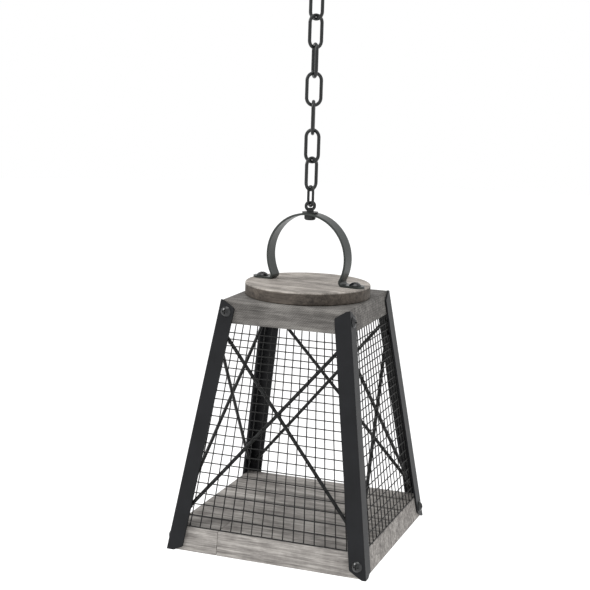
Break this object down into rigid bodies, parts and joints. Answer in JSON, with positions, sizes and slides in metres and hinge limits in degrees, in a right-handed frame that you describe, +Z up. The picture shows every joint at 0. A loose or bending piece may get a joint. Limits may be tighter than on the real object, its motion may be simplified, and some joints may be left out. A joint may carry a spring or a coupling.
{
  "type": "hanging lantern",
  "caption": "Tapered square lantern with wooden base and top, steel cage with cross braces and wire mesh, strap handle and hanging chain.",
  "frame": {"origin": "inside the top of the uppermost chain link, where the hook that holds it bears", "axes": "+Z up along the chain, -Y towards the meshed front, +X towards the meshed right side"},
  "size_m": [0.2484, 0.2484, 0.6542],
  "materials": {
    "base_wood": "weathered grey wash, sawn",
    "block_wood": "weathered grey wash, rough sawn",
    "disc_wood": "weathered grey wash",
    "leg_steel": "satin black",
    "brace_steel": "satin black",
    "mesh_steel": "black",
    "strap_steel": "gunmetal",
    "screw_steel": "black oxide",
    "eye_steel": "black",
    "chain_steel": "black"
  },
  "bodies": {
    "link_8": {"link_8": "chain_steel"},
    "link_7": {"link_7": "chain_steel"},
    "link_6": {"link_6": "chain_steel"},
    "link_5": {"link_5": "chain_steel"},
    "link_4": {"link_4": "chain_steel"},
    "link_3": {"link_3": "chain_steel"},
    "link_2": {"link_2": "chain_steel"},
    "link_1": {"link_1": "chain_steel"},
    "eye": {"hanging_eye": "eye_steel", "eye_nut": "eye_steel"},
    "lantern": {"back_brace_long": "brace_steel", "back_brace_lower": "brace_steel", "back_brace_upper": "brace_steel", "base_board_2": "base_wood", "base_board_3": "base_wood", "base_board_4": "base_wood", "base_board_5": "base_wood", "base_board_6": "base_wood", "base_board_front_left": "base_wood", "base_board_front_right": "base_wood", "eye_washer": "eye_steel", "front_brace_long": "brace_steel", "front_brace_lower": "brace_steel", "front_brace_upper": "brace_steel", "front_mesh": "mesh_steel", "handle_screws": "screw_steel", "handle_strap": "strap_steel", "left_brace_long": "brace_steel", "left_brace_lower": "brace_steel", "left_brace_upper": "brace_steel", "leg_back_left": "leg_steel", "leg_back_right": "leg_steel", "leg_front_left": "leg_steel", "leg_front_right": "leg_steel", "leg_screws_bottom": "screw_steel", "leg_screws_top": "screw_steel", "right_brace_long": "brace_steel", "right_brace_lower": "brace_steel", "right_brace_upper": "brace_steel", "right_mesh": "mesh_steel", "top_block": "block_wood", "top_disc": "disc_wood"}
  },
  "joints": [
    {"name": "link_7_swing", "type": "hinge", "parent": "link_8", "child": "link_7", "pos_m": [0, 0, -0.035], "axis": [0.9511, -0.309, 0], "range_deg": [-35, 35]},
    {"name": "link_6_swing", "type": "hinge", "parent": "link_7", "child": "link_6", "pos_m": [0, 0, -0.0677], "axis": [0.5592, 0.829, 0], "range_deg": [-35, 35]},
    {"name": "link_5_swing", "type": "hinge", "parent": "link_6", "child": "link_5", "pos_m": [0, 0, -0.1004], "axis": [-0.5446, 0.8387, 0], "range_deg": [-35, 35]},
    {"name": "link_4_swing", "type": "hinge", "parent": "link_5", "child": "link_4", "pos_m": [0, 0, -0.1331], "axis": [-0.829, -0.5592, 0], "range_deg": [-35, 35]},
    {"name": "link_3_swing", "type": "hinge", "parent": "link_4", "child": "link_3", "pos_m": [0, 0, -0.1658], "axis": [0.2924, -0.9563, 0], "range_deg": [-35, 35]},
    {"name": "link_2_swing", "type": "hinge", "parent": "link_3", "child": "link_2", "pos_m": [0, 0, -0.1985], "axis": [0.9848, -0.1736, 0], "range_deg": [-35, 35]},
    {"name": "link_1_swing", "type": "hinge", "parent": "link_2", "child": "link_1", "pos_m": [0, 0, -0.2312], "axis": [0.3907, 0.9205, 0], "range_deg": [-35, 35]},
    {"name": "eye_swing", "type": "hinge", "parent": "link_1", "child": "eye", "pos_m": [0, 0, -0.2501], "axis": [-0.7431, 0.6691, 0], "range_deg": [-35, 35]},
    {"name": "lantern_swivel", "type": "hinge", "parent": "eye", "child": "lantern", "pos_m": [0, 0, -0.2582], "axis": [0, 0, 1], "continuous": true}
  ]
}
